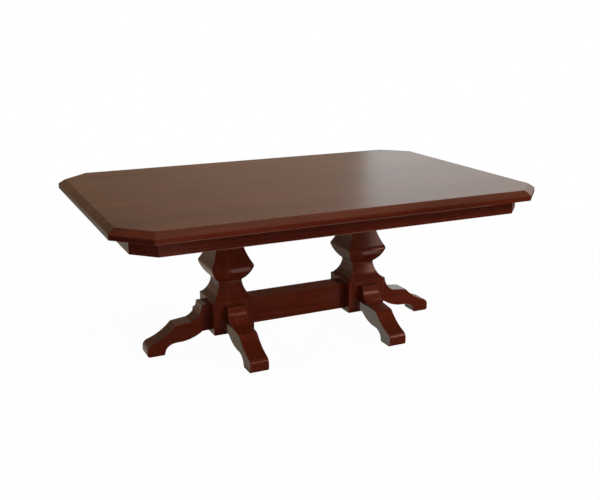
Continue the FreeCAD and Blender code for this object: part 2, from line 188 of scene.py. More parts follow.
def shrink(points: Sequence[Plan], depth: float) -> list[Plan]:
    """Move a closed outline inwards.

    Args:
        points: the outline's points, counter-clockwise.
        depth: how far every side moves.

    Returns:
        As many points, moved.
    """
    moved = []
    for index, point in enumerate(points):
        before = (Vector(point) - Vector(points[index - 1])).normalized()
        after = (Vector(points[(index + 1) % len(points)]) - Vector(point)).normalized()
        inward = Vector((-before.y - after.y, before.x + after.x))
        stretch = inward.length / 2.0
        moved.append(tuple(Vector(point) + inward.normalized() * depth / stretch))
    return moved


def skin(name: str, rings: Sequence[Sequence[Vector]]) -> bpy.types.Mesh:
    """Make a closed mesh through a row of rings.

    Args:
        name: the mesh's name.
        rings: rings of as many points each, in order.

    Returns:
        The mesh, with a flat cap at either end.
    """
    shape = bmesh.new()
    rows = [[shape.verts.new(point) for point in ring] for ring in rings]
    for lower, upper in zip(rows, rows[1:]):
        for index in range(len(lower)):
            following = (index + 1) % len(lower)
            shape.faces.new((lower[index], lower[following], upper[following], upper[index]))
    shape.faces.new(list(reversed(rows[0])))
    shape.faces.new(rows[-1])
    bmesh.ops.recalc_face_normals(shape, faces=shape.faces)
    mesh = bpy.data.meshes.new(name)
    shape.to_mesh(mesh)
    shape.free()
    return mesh


def mark_arrises(mesh: bpy.types.Mesh) -> None:
    """Write how far each point belongs to an eased arris, for the finish to show its wear and a painted
    highlight.

    Args:
        mesh: the shape, which gets the attribute "arris".
    """
    shape = bmesh.new()
    shape.from_mesh(mesh)
    layer = shape.verts.layers.float.new("arris")
    slim = {}
    for face in shape.faces:
        longest = max(edge.calc_length() for edge in face.edges)
        slim[face] = face.calc_area() < ARRIS_WIDTH * longest
    for point in shape.verts:
        faces = point.link_faces
        spread = max(one.normal.angle(two.normal, 0.0) for one in faces for two in faces)
        point[layer] = float(spread > ARRIS_TURN and all(slim[face] for face in faces))
    shape.to_mesh(mesh)
    shape.free()


def evaluated_mesh(piece: bpy.types.Object, name: str) -> bpy.types.Mesh:
    """Return the plain mesh that an object's modifiers give.

    Args:
        piece: the object.
        name: the new mesh's name.

    Returns:
        The new mesh.
    """
    depsgraph = bpy.context.evaluated_depsgraph_get()
    mesh = bpy.data.meshes.new_from_object(piece.evaluated_get(depsgraph))
    mesh.name = name
    return mesh


def link(name: str, content: bpy.types.ID) -> bpy.types.Object:
    """Add an object to the scene.

    Args:
        name: the object's name.
        content: the mesh, lamp or camera that it holds.

    Returns:
        The new object, at the origin.
    """
    piece = bpy.data.objects.new(name, content)
    bpy.context.scene.collection.objects.link(piece)
    return piece


def grow(
    name: str, guide: bpy.types.Mesh, tree: bpy.types.NodeTree, sizes: dict[str, object]
) -> bpy.types.Mesh:
    """Run a geometry tree on a guide and keep the plain mesh that comes out.

    Args:
        name: the new mesh's name.
        guide: the points or the spine that the tree starts from.
        tree: the geometry tree.
        sizes: the tree's inputs by name.

    Returns:
        The finished mesh; the guide is gone.
    """
    holder = link(f"{name}_guide", guide)
    growth = holder.modifiers.new("growth", "NODES")
    growth.node_group = tree
    for item in tree.interface.items_tree:
        if item.in_out == "INPUT" and item.name in sizes:
            growth[item.identifier] = sizes[item.name]
    mesh = evaluated_mesh(holder, name)
    bpy.data.objects.remove(holder)
    mesh.materials.clear()
    mesh.materials.append(sizes["Material"])
    return mesh


def spine(
    name: str, profile: Sequence[Plan], x: float = 0.0, places: Sequence[Vector] = ()
) -> bpy.types.Mesh:
    """Return an upright line that carries a profile, and the points where its shape is wanted.

    Args:
        name: the guide's name.
        profile: half-widths and heights from the foot up.
        x: where the line stands along the table's length.
        places: points that get the shape, where it is repeated.

    Returns:
        The guide, with its half-widths and its places as attributes.
    """
    heights = [profile[0][1]]
    for _, height in profile[1:]:
        heights.append(max(height, heights[-1] + LEAST_CLIMB))
    guide = bpy.data.meshes.new(f"{name}_guide")
    steps = [(index, index + 1) for index in range(len(heights) - 1)]
    guide.from_pydata([(x, 0.0, z) for z in heights] + [tuple(place) for place in places], steps, [])
    widths = guide.attributes.new("half_width", "FLOAT", "POINT")
    widths.data.foreach_set("value", [width for width, _ in profile] + [0.0] * len(places))
    marks = guide.attributes.new("place", "BOOLEAN", "POINT")
    marks.data.foreach_set("value", [False] * len(heights) + [True] * len(places))
    return guide


def sheet(name: str, corner: Vector, along: Vector, up: Vector) -> bpy.types.Mesh:
    """Return a mesh with one four-sided face.

    Args:
        name: the mesh's name.
        corner: one of its corners.
        along: the way from there to the next corner.
        up: the way from there to the other neighbour.

    Returns:
        The mesh; its face looks the way of along cross up.
    """
    mesh = bpy.data.meshes.new(name)
    mesh.from_pydata([corner, corner + along, corner + along + up, corner + up], [], [(0, 1, 2, 3)])
    return mesh


def seat(piece: bpy.types.Object, nodes: Sequence[str]) -> None:
    """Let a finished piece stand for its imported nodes.

    Args:
        piece: the finished piece.
        nodes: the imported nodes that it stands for.
    """
    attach(piece, BODY)
    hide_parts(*nodes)
    LOG.info("%s: %d faces, for %s", piece.name, len(piece.data.polygons), ", ".join(nodes))


def wooden_piece(
    name: str, mesh: bpy.types.Mesh, finish: "StainedWood", grain: "Grain", nodes: Sequence[str]
) -> None:
    """Finish a wooden piece and seat it.

    Args:
        name: the piece's name.
        mesh: its closed shape, in place.
        finish: its stain and lacquer.
        grain: the way its grain runs.
        nodes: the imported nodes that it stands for.
    """
    mesh.shade_smooth()
    mesh.set_sharp_from_angle(angle=SHARP_TURN)
    mark_arrises(mesh)
    if not mesh.materials:
        mesh.materials.append(finish.material(grain))
    piece = link(name, mesh)
    even = piece.modifiers.new("even_normals", "WEIGHTED_NORMAL")
    even.keep_sharp = True
    piece.data = evaluated_mesh(piece, name)
    piece.modifiers.clear()
    seat(piece, nodes)


class Wire:
    """A node's output, which takes part in arithmetic."""

    def __init__(self, graph: "Graph", socket: bpy.types.NodeSocket) -> None:
        """Keep an output and the graph that its sums go into."""
        self.graph = graph
        self.socket = socket

    def _sum(self, operation: str, first: Number, second: Number) -> "Wire":
        """Return a Math node's output for two values."""
        return self.graph.node("ShaderNodeMath", {"operation": operation}, {0: first, 1: second})

    def __add__(self, other: Number) -> "Wire":
        """Return self + other."""
        return self._sum("ADD", self, other)

    def __radd__(self, other: float) -> "Wire":
        """Return other + self."""
        return self._sum("ADD", other, self)

    def __sub__(self, other: Number) -> "Wire":
        """Return self - other."""
        return self._sum("SUBTRACT", self, other)

    def __rsub__(self, other: float) -> "Wire":
        """Return other - self."""
        return self._sum("SUBTRACT", other, self)

    def __mul__(self, other: Number) -> "Wire":
        """Return self * other."""
        return self._sum("MULTIPLY", self, other)

    def __rmul__(self, other: float) -> "Wire":
        """Return other * self."""
        return self._sum("MULTIPLY", other, self)

    def __truediv__(self, other: Number) -> "Wire":
        """Return self / other."""
        return self._sum("DIVIDE", self, other)


@dataclass(frozen=True)
class Pattern:
    """A noise that a finish is made of.

    Attributes:
        stretch: how often it changes to a metre, along each axis.
        detail: number of its finer layers.
        roughness: strength of its finer layers.
        warp: how far it is bent.
    """

    stretch: Triple
    detail: float
    roughness: float = 0.5
    warp: float = 0.0


class Graph:
    """The nodes of one material, world or geometry tree."""

    # The sockets of a Mix node's two colours.
    FIRST_COLOUR = 6
    SECOND_COLOUR = 7

    def __init__(self, tree: bpy.types.NodeTree) -> None:
        """Start from an empty tree."""
        self.tree = tree
        tree.nodes.clear()

    def node(
        self, kind: str, settings: dict | None = None, inputs: dict | None = None, output: int | str = 0
    ) -> Wire:
        """Add a node, set it up and wire it.

        Args:
            kind: the node's type.
            settings: its properties.
            inputs: a value, a Wire or a list of Wires for each socket, by name or number.
            output: the output to hand back.

        Returns:
            The chosen output, or an empty Wire where the node has none.
        """
        made = self.tree.nodes.new(kind)
        for name, value in (settings or {}).items():
            setattr(made, name, value)
        for key, value in (inputs or {}).items():
            for part in value if isinstance(value, list) else [value]:
                if isinstance(part, Wire):
                    self.tree.links.new(part.socket, made.inputs[key])
                else:
                    made.inputs[key].default_value = part
        return Wire(self, made.outputs[output] if made.outputs else None)

    def mix(self, share: Number, first: "Wire | Colour", second: "Wire | Colour") -> Wire:
        """Mix two colours.

        Args:
            share: share of the second colour.
            first: the first colour.
            second: the second colour.

        Returns:
            The mixed colour.
        """
        colours = [part if isinstance(part, Wire) else opaque(part) for part in (first, second)]
        sockets = {0: share, self.FIRST_COLOUR: colours[0], self.SECOND_COLOUR: colours[1]}
        return self.node("ShaderNodeMix", {"data_type": "RGBA"}, sockets, output=2)

    def noise(self, vector: Wire, pattern: Pattern) -> Wire:
        """Lay a noise over a vector.

        Args:
            vector: where on the piece it is read.
            pattern: the noise.

        Returns:
            The noise's value, about 0.5 on average.
        """
        stretch = {0: vector, 1: pattern.stretch}
        inputs = {
            "Vector": self.node("ShaderNodeVectorMath", {"operation": "MULTIPLY"}, stretch),
            "Scale": 1.0,
            "Detail": pattern.detail,
            "Roughness": pattern.roughness,
            "Distortion": pattern.warp,
        }
        return self.node("ShaderNodeTexNoise", None, inputs, output="Fac")

    def span(self, value: Wire, low: float, high: float) -> Wire:
        """Return a value spread from 0 at low to 1 at high, and held there."""
        return self.node("ShaderNodeMapRange", None, {"Value": value, "From Min": low, "From Max": high})

    def surface(self, shader: Wire, kind: str = "ShaderNodeOutputMaterial") -> None:
        """End a material or a world in its shader."""
        self.node(kind, None, {"Surface": shader})


def painted(name: str, fill: Callable[[Graph], None]) -> bpy.types.Material:
    """Return a material, which is made at its first use.

    Args:
        name: the material's name.
        fill: writes its nodes into an empty graph.

    Returns:
        The material.
    """
    made = bpy.data.materials.get(name)
    if made is None:
        made = bpy.data.materials.new(name)
        made.use_nodes = True
        fill(Graph(made.node_tree))
    return made


class ShapeTree(Graph):
    """A geometry tree with named inputs, which ends in plain geometry with its material."""

    def __init__(self, name: str, sizes: dict[str, str]) -> None:
        """Start the tree.

        Args:
            name: the tree's name.
            sizes: the kind of each named input, such as Float or Int.
        """
        super().__init__(bpy.data.node_groups.new(name, "GeometryNodeTree"))
        self.tree.interface.new_socket("Geometry", in_out="OUTPUT", socket_type="NodeSocketGeometry")
        for label, kind in {"Geometry": "Geometry", **sizes, "Material": "Material"}.items():
            self.tree.interface.new_socket(label, in_out="INPUT", socket_type=f"NodeSocket{kind}")
        offered = self.node("NodeGroupInput").socket.node.outputs
        self.inputs = {socket.name: Wire(self, socket) for socket in offered if socket.name}

    def swept(self, section: Wire) -> Wire:
        """Sweep a section up the guide.

        Args:
            section: a closed curve of unit half-width, which the guide's half-widths scale.

        Returns:
            The closed shape.
        """
        line = self.node("GeometryNodeMeshToCurve", None, {"Mesh": self.inputs["Geometry"]})
        width = self.node("GeometryNodeInputNamedAttribute", {"data_type": "FLOAT"}, {"Name": "half_width"})
        parts = {"Curve": line, "Profile Curve": section, "Scale": width, "Fill Caps": True}
        return self.node("GeometryNodeCurveToMesh", None, parts)

    def turned(self) -> Wire:
        """Return the round shape that the guide's half-widths describe."""
        sides = {"Resolution": ROUND_SIDES}
        return self.swept(self.node("GeometryNodeCurvePrimitiveCircle", {"mode": "RADIUS"}, sides))

    def prism(self, sides: int, radius: Number, height: Number, middle: Number) -> Wire:
        """Return an upright prism.

        Args:
            sides: number of its faces.
            radius: distance from its axis to its corners.
            height: its height.
            middle: height of its middle.

        Returns:
            The closed shape.
        """
        sizes = {"Vertices": sides, "Radius": radius, "Depth": height}
        shape = self.node("GeometryNodeMeshCylinder", None, sizes)
        lift = self.node("ShaderNodeCombineXYZ", None, {"Z": middle})
        return self.node("GeometryNodeTransform", None, {"Geometry": shape, "Translation": lift})

    def joined(self, shape: Wire, other: Wire) -> Wire:
        """Return two closed shapes as one."""
        settings = {"operation": "UNION", "solver": "MANIFOLD"}
        return self.node("GeometryNodeMeshBoolean", settings, {"Mesh 2": [shape, other]})

    def cut(self, shape: Wire, tool: Wire) -> Wire:
        """Return a closed shape with another taken out of it."""
        settings = {"operation": "DIFFERENCE", "solver": "MANIFOLD"}
        return self.node("GeometryNodeMeshBoolean", settings, {"Mesh 1": shape, "Mesh 2": tool})

    def repeated(self, shape: Wire) -> Wire:
        """Set a shape on every place of the guide.

        Args:
            shape: the shape, at the origin.

        Returns:
            Its instances.
        """
        marks = self.node("GeometryNodeInputNamedAttribute", {"data_type": "BOOLEAN"}, {"Name": "place"})
        sets = {"Points": self.inputs["Geometry"], "Selection": marks, "Instance": shape}
        return self.node("GeometryNodeInstanceOnPoints", None, sets)

    def close(self, shape: Wire) -> bpy.types.NodeTree:
        """End the tree in plain geometry with its material.

        Args:
            shape: what the tree has made.

        Returns:
            The finished tree.
        """
        plain = self.node("GeometryNodeRealizeInstances", None, {"Geometry": shape})
        dressing = {"Geometry": plain, "Material": self.inputs["Material"]}
        dressed = self.node("GeometryNodeSetMaterial", None, dressing)
        self.node("NodeGroupOutput", None, {"Geometry": dressed})
        return self.tree


class Grain(Enum):
    """Which way a piece's grain runs; the value turns that way onto the pattern's X axis."""

    LENGTHWISE = (0.0, 0.0, 0.0)
    ACROSS = (0.0, 0.0, -math.pi / 2.0)
    UPRIGHT = (0.0, math.pi / 2.0, 0.0)
    RISING = (0.0, 0.0, -math.pi / 4.0)
    FALLING = (0.0, 0.0, math.pi / 4.0)


SIDE_GRAIN = (Grain.LENGTHWISE, Grain.RISING, Grain.ACROSS, Grain.FALLING) * 2


@dataclass(frozen=True)
class StainedWood:
    """A hardwood with its stain and clear finish.

    Attributes:
        slot: the record's material slot.
        deep: colour of the dense, dark grain.
        pale: colour of the open, light grain.
        wear_and_highlight: colour on the arrises: wear, and partly a painted highlight along them.
        roughness: how matt the surface is.
        figure: strength of the broad figure.
        boards: number of boards side by side, or none.
        board_width: width of one board.
    """

    slot: str
    deep: Colour
    pale: Colour
    wear_and_highlight: Colour
    roughness: float
    figure: float = 0.5
    boards: int = 0
    board_width: float = 0.0

    # Patterns along and across the fibre, and those that have no direction.
    FIGURE = Pattern((0.9, 9.0, 9.0), 3.0, 0.5, 0.6)
    STREAKS = Pattern((3.0, 90.0, 90.0), 4.0, 0.55, 0.2)
    FINE = Pattern((16.0, 560.0, 560.0), 2.0)
    PORES = Pattern((60.0, 1300.0, 1300.0), 1.0, 0.4)
    STAIN = Pattern((2.4, 2.4, 2.4), 2.0)
    RUB_AND_HIGHLIGHT_NOISE = Pattern((21.0, 21.0, 21.0), 3.0)
    # The part of a pattern's range that shows.
    TONE_SPAN = (0.33, 0.67)
    PORE_SPAN = (0.6, 0.72)
    RUB_AND_HIGHLIGHT_SPAN = (0.38, 0.66)
    # Shares of the patterns in the colour, in the roughness and in the relief.
    STREAK_SHARE = 0.6
    STAIN_SHARE = 0.2
    PORE_SHARE = 0.12
    # The arrises' lighter colour is partly wear and partly a painted highlight along them.
    RUB_AND_HIGHLIGHT_SHARE = 0.2
    STREAK_MATT = 0.06
    PORE_MATT = 0.05
    RUB_SHINE = 0.05
    STREAK_RELIEF = 0.4
    FINE_RELIEF = 0.2
    PORE_RELIEF = 0.4
    RELIEF = {"Strength": 0.06, "Distance": 0.0003}
    # How far the pattern moves on, and how much the tone changes, from board to board.
    BOARD_SHIFT = {"X": 9.0, "Y": 5.0, "Z": 3.0}
    BOARD_TINT = 0.06

    def material(self, grain: Grain) -> bpy.types.Material:
        """Return the finish for pieces whose grain runs one way."""
        return painted(f"{self.slot}_{grain.name.lower()}", lambda graph: self._fill(graph, grain))

    def _fill(self, graph: Graph, grain: Grain) -> None:
        """Write the wood's nodes.

        Args:
            graph: the empty graph.
            grain: the way the grain runs.
        """
        spot = graph.node("ShaderNodeTexCoord", output="Object")
        fibre = graph.node("ShaderNodeMapping", None, {"Vector": spot, "Rotation": grain.value})
        tint: Number = 0.0
        if self.boards:
            fibre, tint = self._board(graph, spot, fibre)
        figure = graph.noise(fibre, self.FIGURE)
        streaks = graph.noise(fibre, self.STREAKS)
        fine = graph.noise(fibre, self.FINE)
        pores = graph.span(graph.noise(fibre, self.PORES), *self.PORE_SPAN)
        stain = graph.noise(spot, self.STAIN)
        lines = self.STREAK_SHARE * streaks + (1.0 - self.STREAK_SHARE) * fine
        tone = self.figure * figure + (1.0 - self.figure) * lines + self.STAIN_SHARE * (stain - 0.5) + tint
        arris = graph.node("ShaderNodeAttribute", {"attribute_name": "arris"}, output="Fac")
        # Arrises get a lighter colour under a noise: partly wear, partly a painted highlight along the
        # arrises.
        rub_and_highlight = arris * graph.span(graph.noise(spot, self.RUB_AND_HIGHLIGHT_NOISE), *self.RUB_AND_HIGHLIGHT_SPAN)
        colour = graph.mix(graph.span(tone, *self.TONE_SPAN), self.deep, self.pale)
        colour = graph.mix(self.PORE_SHARE * pores, colour, self.deep)
        colour = graph.mix(self.RUB_AND_HIGHLIGHT_SHARE * rub_and_highlight, colour, self.wear_and_highlight)
        matt = self.STREAK_MATT * (streaks - 0.5) + self.PORE_MATT * pores - self.RUB_SHINE * rub_and_highlight
        relief = self.STREAK_RELIEF * streaks + self.FINE_RELIEF * fine - self.PORE_RELIEF * pores
        inputs = {
            "Base Color": colour,
            "Roughness": self.roughness + matt,
            "Normal": graph.node("ShaderNodeBump", None, {**self.RELIEF, "Height": relief}),
        }
        graph.surface(graph.node("ShaderNodeBsdfPrincipled", None, inputs))

    def _board(self, graph: Graph, spot: Wire, fibre: Wire) -> tuple[Wire, Wire]:
        """Give every board its own piece of the pattern.

        Args:
            graph: the material's graph.
            spot: the place on the piece.
            fibre: the same, turned to the grain.

        Returns:
            The pattern's vector, moved on for every board, and the board's own tint.
        """
        across = graph.node("ShaderNodeSeparateXYZ", None, {0: spot}, output="Y")
        place = across / self.board_width + self.boards / 2.0
        number = graph.node("ShaderNodeMath", {"operation": "FLOOR"}, {0: place})
        white = {"noise_dimensions": "1D"}
        chance = graph.node("ShaderNodeTexWhiteNoise", white, {"W": number}, output="Value")
        steps = {axis: chance * reach for axis, reach in self.BOARD_SHIFT.items()}
        shift = graph.node("ShaderNodeCombineXYZ", None, steps)
        moved = graph.node("ShaderNodeVectorMath", {"operation": "ADD"}, {0: fibre, 1: shift})
        return moved, (chance - 0.5) * self.BOARD_TINT


@dataclass(frozen=True)
class PlainFinish:
    """An even finish, such as plated steel or nylon, with a fine grain of its own.

    Attributes:
        slot: the record's material slot.
        colour: its colour.
        shade: the colour of its flecks.
        metallic: 1 for metal.
        roughness: how matt it is.
        fleck: flecks to a metre.
    """

    slot: str
    colour: Colour
    shade: Colour
    metallic: float
    roughness: float
    fleck: float

    # The flecks' noise, the part of its range that shows, and its share in roughness and relief.
    FLECK_DETAIL = 3.0
    FLECK_ROUGHNESS = 0.6
    FLECK_SPAN = (0.35, 0.7)
    FLECK_MATT = 0.2
    RELIEF = {"Strength": 0.1, "Distance": 0.0002}

    def material(self) -> bpy.types.Material:
        """Return the finish's material."""
        return painted(f"{self.slot}_finish", self._fill)

    def _fill(self, graph: Graph) -> None:
        """Write the finish's nodes.

        Args:
            graph: the empty graph.
        """
        spot = graph.node("ShaderNodeTexCoord", output="Object")
        grains = Pattern((self.fleck,) * 3, self.FLECK_DETAIL, self.FLECK_ROUGHNESS)
        flecks = graph.noise(spot, grains)
        inputs = {
            "Base Color": graph.mix(graph.span(flecks, *self.FLECK_SPAN), self.colour, self.shade),
            "Roughness": self.roughness + self.FLECK_MATT * (flecks - 0.5),
            "Metallic": self.metallic,
            "Normal": graph.node("ShaderNodeBump", None, {**self.RELIEF, "Height": flecks}),
        }
        graph.surface(graph.node("ShaderNodeBsdfPrincipled", None, inputs))


BOARD_NODES = sorted(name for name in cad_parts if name.startswith("top_board_"))

# Each wood's colour for its arrises is partly wear and partly a painted highlight.
TOP_WOOD = StainedWood(
    slot="top_wood",
    deep=(0.06, 0.0105, 0.004),
    pale=(0.14, 0.029, 0.011),
    wear_and_highlight=(0.22, 0.07, 0.035),
    roughness=0.26,
    boards=len(BOARD_NODES),
    board_width=(CAD_BOX[1].y - CAD_BOX[0].y) / len(BOARD_NODES),
)
RIM_WOOD = StainedWood(
    slot="rim_wood",
    deep=(0.044, 0.005, 0.0016),
    pale=(0.112, 0.0155, 0.006),
    wear_and_highlight=(0.24, 0.075, 0.038),
    roughness=0.18,
    figure=0.35,
)
BASE_WOOD = StainedWood(
    slot="base_wood",
    deep=(0.055, 0.0068, 0.0024),
    pale=(0.14, 0.021, 0.0085),
    wear_and_highlight=(0.24, 0.075, 0.038),
    roughness=0.2,
    figure=0.35,
)
INNER_WOOD = StainedWood(
    slot="inner_wood",
    deep=(0.22, 0.115, 0.055),
    pale=(0.42, 0.26, 0.14),
    wear_and_highlight=(0.5, 0.34, 0.2),
    roughness=0.55,
)
DOWEL_WOOD = StainedWood(
    slot="dowel_wood",
    deep=(0.5, 0.34, 0.19),
    pale=(0.66, 0.5, 0.31),
    wear_and_highlight=(0.7, 0.56, 0.38),
    roughness=0.6,
)
PLATED_STEEL = PlainFinish("steel", (0.56, 0.56, 0.55), (0.4, 0.4, 0.4), 1.0, 0.35, 900.0)
DARK_NYLON = PlainFinish("glide", (0.045, 0.038, 0.034), (0.07, 0.06, 0.055), 0.0, 0.5, 700.0)


@dataclass
class TopAndRim:
    """The top with its bevelled edge, the strips that thicken the edge, and the apron under it.

    Attributes:
        bevel_width: how far the bevel runs in from the edge.
        bevel_drop: how far it falls.
        soft_arris: radius where the top meets its bevel.
        arris: radius of the other arrises.
        corner_round: radius of the eight upright corners.
        corner_steps: edges across half of such a corner.
    """

    bevel_width: float = 0.0305
    bevel_drop: float = 0.020
    soft_arris: float = 0.005
    arris: float = 0.0025
    corner_round: float = 0.004
    corner_steps: int = 3

    def __post_init__(self) -> None:
        """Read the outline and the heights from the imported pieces."""
        strip_low, strip_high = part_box("edge_strip_front")
        rail_low, rail_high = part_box("apron_front")
        self.half_length = CAD_BOX[1].x
        self.half_width = CAD_BOX[1].y
        self.clip = self.half_length - strip_high.x
        self.top = CAD_BOX[1].z
        self.panel_bottom = strip_high.z
        self.strip_bottom = strip_low.z
        self.apron_outside = rail_low.y - CAD_BOX[0].y
        self.apron_inside = rail_high.y - CAD_BOX[0].y
        self.apron_bottom = rail_low.z

    def build(self) -> None:
        """Make the top, its edge strips and the apron rails."""
        self._build_top()
        strip = self._section(0.0, self.apron_outside, self.strip_bottom)
        rail = self._section(self.apron_outside, self.apron_inside, self.apron_bottom)
        for index, side in enumerate(SIDES):
            self._build_side(f"edge_band_{side}", index, strip, f"edge_strip_{side}")
            self._build_side(f"apron_rail_{side}", index, rail, f"apron_{side}")

    def _corner(self, index: int, inset: float) -> Vector:
        """Return a corner of the outline, moved inwards.

        Args:
            index: the corner's number; corner 0 is the front's left end.
            inset: how far the outline's sides move in.

        Returns:
            The corner's place in plan.
        """
        outward = self._outward(SIDE_TURN * index - MITRE_TURN)
        on_long_side = abs(outward.y) > abs(outward.x)
        x = self.half_length - (self.clip if on_long_side else 0.0)
        y = self.half_width - (0.0 if on_long_side else self.clip)
        place = Vector((math.copysign(x, outward.x), math.copysign(y, outward.y)))
        return place - outward * inset / math.cos(MITRE_TURN)

    @staticmethod
    def _outward(angle: float) -> Vector:
        """Return the outward direction at an angle counted from the front."""
        return Vector((math.sin(angle), -math.cos(angle)))

    def _rim_point(self, index: int, angle: float, inset: float, height: float) -> Vector:
        """Return a point on the round of a corner.

        Args:
            index: the corner's number.
            angle: the way that the round faces there.
            inset: how far the outline's sides move in.
            height: the point's height.

        Returns:
            The point.
        """
        centre = self._corner(index, inset + self.corner_round)
        place = centre + self._outward(angle) * self.corner_round
        return Vector((place.x, place.y, height))

    def _turns(self, first: float, last: float) -> list[float]:
        """Return the angles across half of a corner."""
        return [first + (last - first) * step / self.corner_steps for step in range(self.corner_steps + 1)]

    def _build_top(self) -> None:
        """Make the top as one slab: edge, bevel and flat."""
        slope_top = (self.bevel_width, self.top)
        slope_foot = (0.0, self.top - self.bevel_drop)
        profile = ease(
            [(0.0, self.panel_bottom), slope_foot, slope_top, (self.half_width, self.top)],
            [0.0, self.arris, self.soft_arris, 0.0],
        )[:-1]
        rings = []
        for inset, height in profile:
            ring = []
            for index in range(len(SIDES)):
                middle = SIDE_TURN * index - MITRE_TURN
                turns = self._turns(middle - MITRE_TURN, middle)
                turns += self._turns(middle, middle + MITRE_TURN)[1:]
                ring += [self._rim_point(index, turn, inset, height) for turn in turns]
            rings.append(ring)
        wooden_piece("table_top", skin("table_top", rings), TOP_WOOD, Grain.LENGTHWISE, BOARD_NODES)

    def _section(self, outside: float, inside: float, bottom: float) -> list[Plan]:
        """Return the section of a strip or rail.

        Args:
            outside: inset of its outer face.
            inside: inset of its inner face.
            bottom: height of its lower face.

        Returns:
            Insets and heights, with eased lower arrises.
        """
        top = self.panel_bottom
        corners = [(outside, top), (outside, bottom), (inside, bottom), (inside, top)]
        return ease(corners, [0.0, self.arris, self.arris, 0.0])

    def _build_side(self, name: str, index: int, section: Sequence[Plan], node: str) -> None:
        """Make the mitred piece on one side.

        Args:
            name: the piece's name.
            index: the side's number.
            section: the piece's section, as insets and heights.
            node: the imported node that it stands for.
        """
        facing = SIDE_TURN * index
        stations = [(index, turn) for turn in self._turns(facing - MITRE_TURN, facing)]
        stations += [(index + 1, turn) for turn in self._turns(facing, facing + MITRE_TURN)]
        rings = [[self._rim_point(*station, inset, z) for inset, z in section] for station in stations]
        wooden_piece(name, skin(name, rings), RIM_WOOD, SIDE_GRAIN[index], [node])


@dataclass
class SquareSweep:
    """A square section that grows and shrinks as it is swept up a straight spine.

    Attributes:
        corner_share: radius of the square's corners over its half-width.
    """

    corner_share: float

    def mesh(
        self, name: str, profile: Sequence[Plan], axis: float, material: bpy.types.Material
    ) -> bpy.types.Mesh:
        """Return the swept shape.

        Args:
            name: the mesh's name.
            profile: half-widths and heights from the foot up.
            axis: where the spine stands along the table's length.
            material: the finish that the tree puts on.

        Returns:
            A closed mesh.
        """
        sizes = {"Corner share": self.corner_share, "Material": material}
        return grow(name, spine(name, profile, axis), self._tree(), sizes)

    @staticmethod
    def _tree() -> bpy.types.NodeTree:
        """Make the sweep's node tree once.

        Returns:
            The tree.
        """
        made = bpy.data.node_groups.get("square_sweep")
        if made is not None:
            return made
        shape = ShapeTree("square_sweep", {"Corner share": "Float"})
        sides = {"Width": 2.0, "Height": 2.0}
        square = shape.node("GeometryNodeCurvePrimitiveQuadrilateral", None, sides)
        easing = {"Curve": square, "Count": EASE_STEPS, "Radius": shape.inputs["Corner share"]}
        return shape.close(shape.swept(shape.node("GeometryNodeFilletCurve", {"mode": "POLY"}, easing)))


class Side(StrEnum):
    """Which end of the table a piece belongs to, as its names say it."""

    LEFT = "left"
    RIGHT = "right"


class Way(StrEnum):
    """Which way a leg points, as its names say it."""

    OUTER = "outer"
    FRONT = "front"
    BACK = "back"


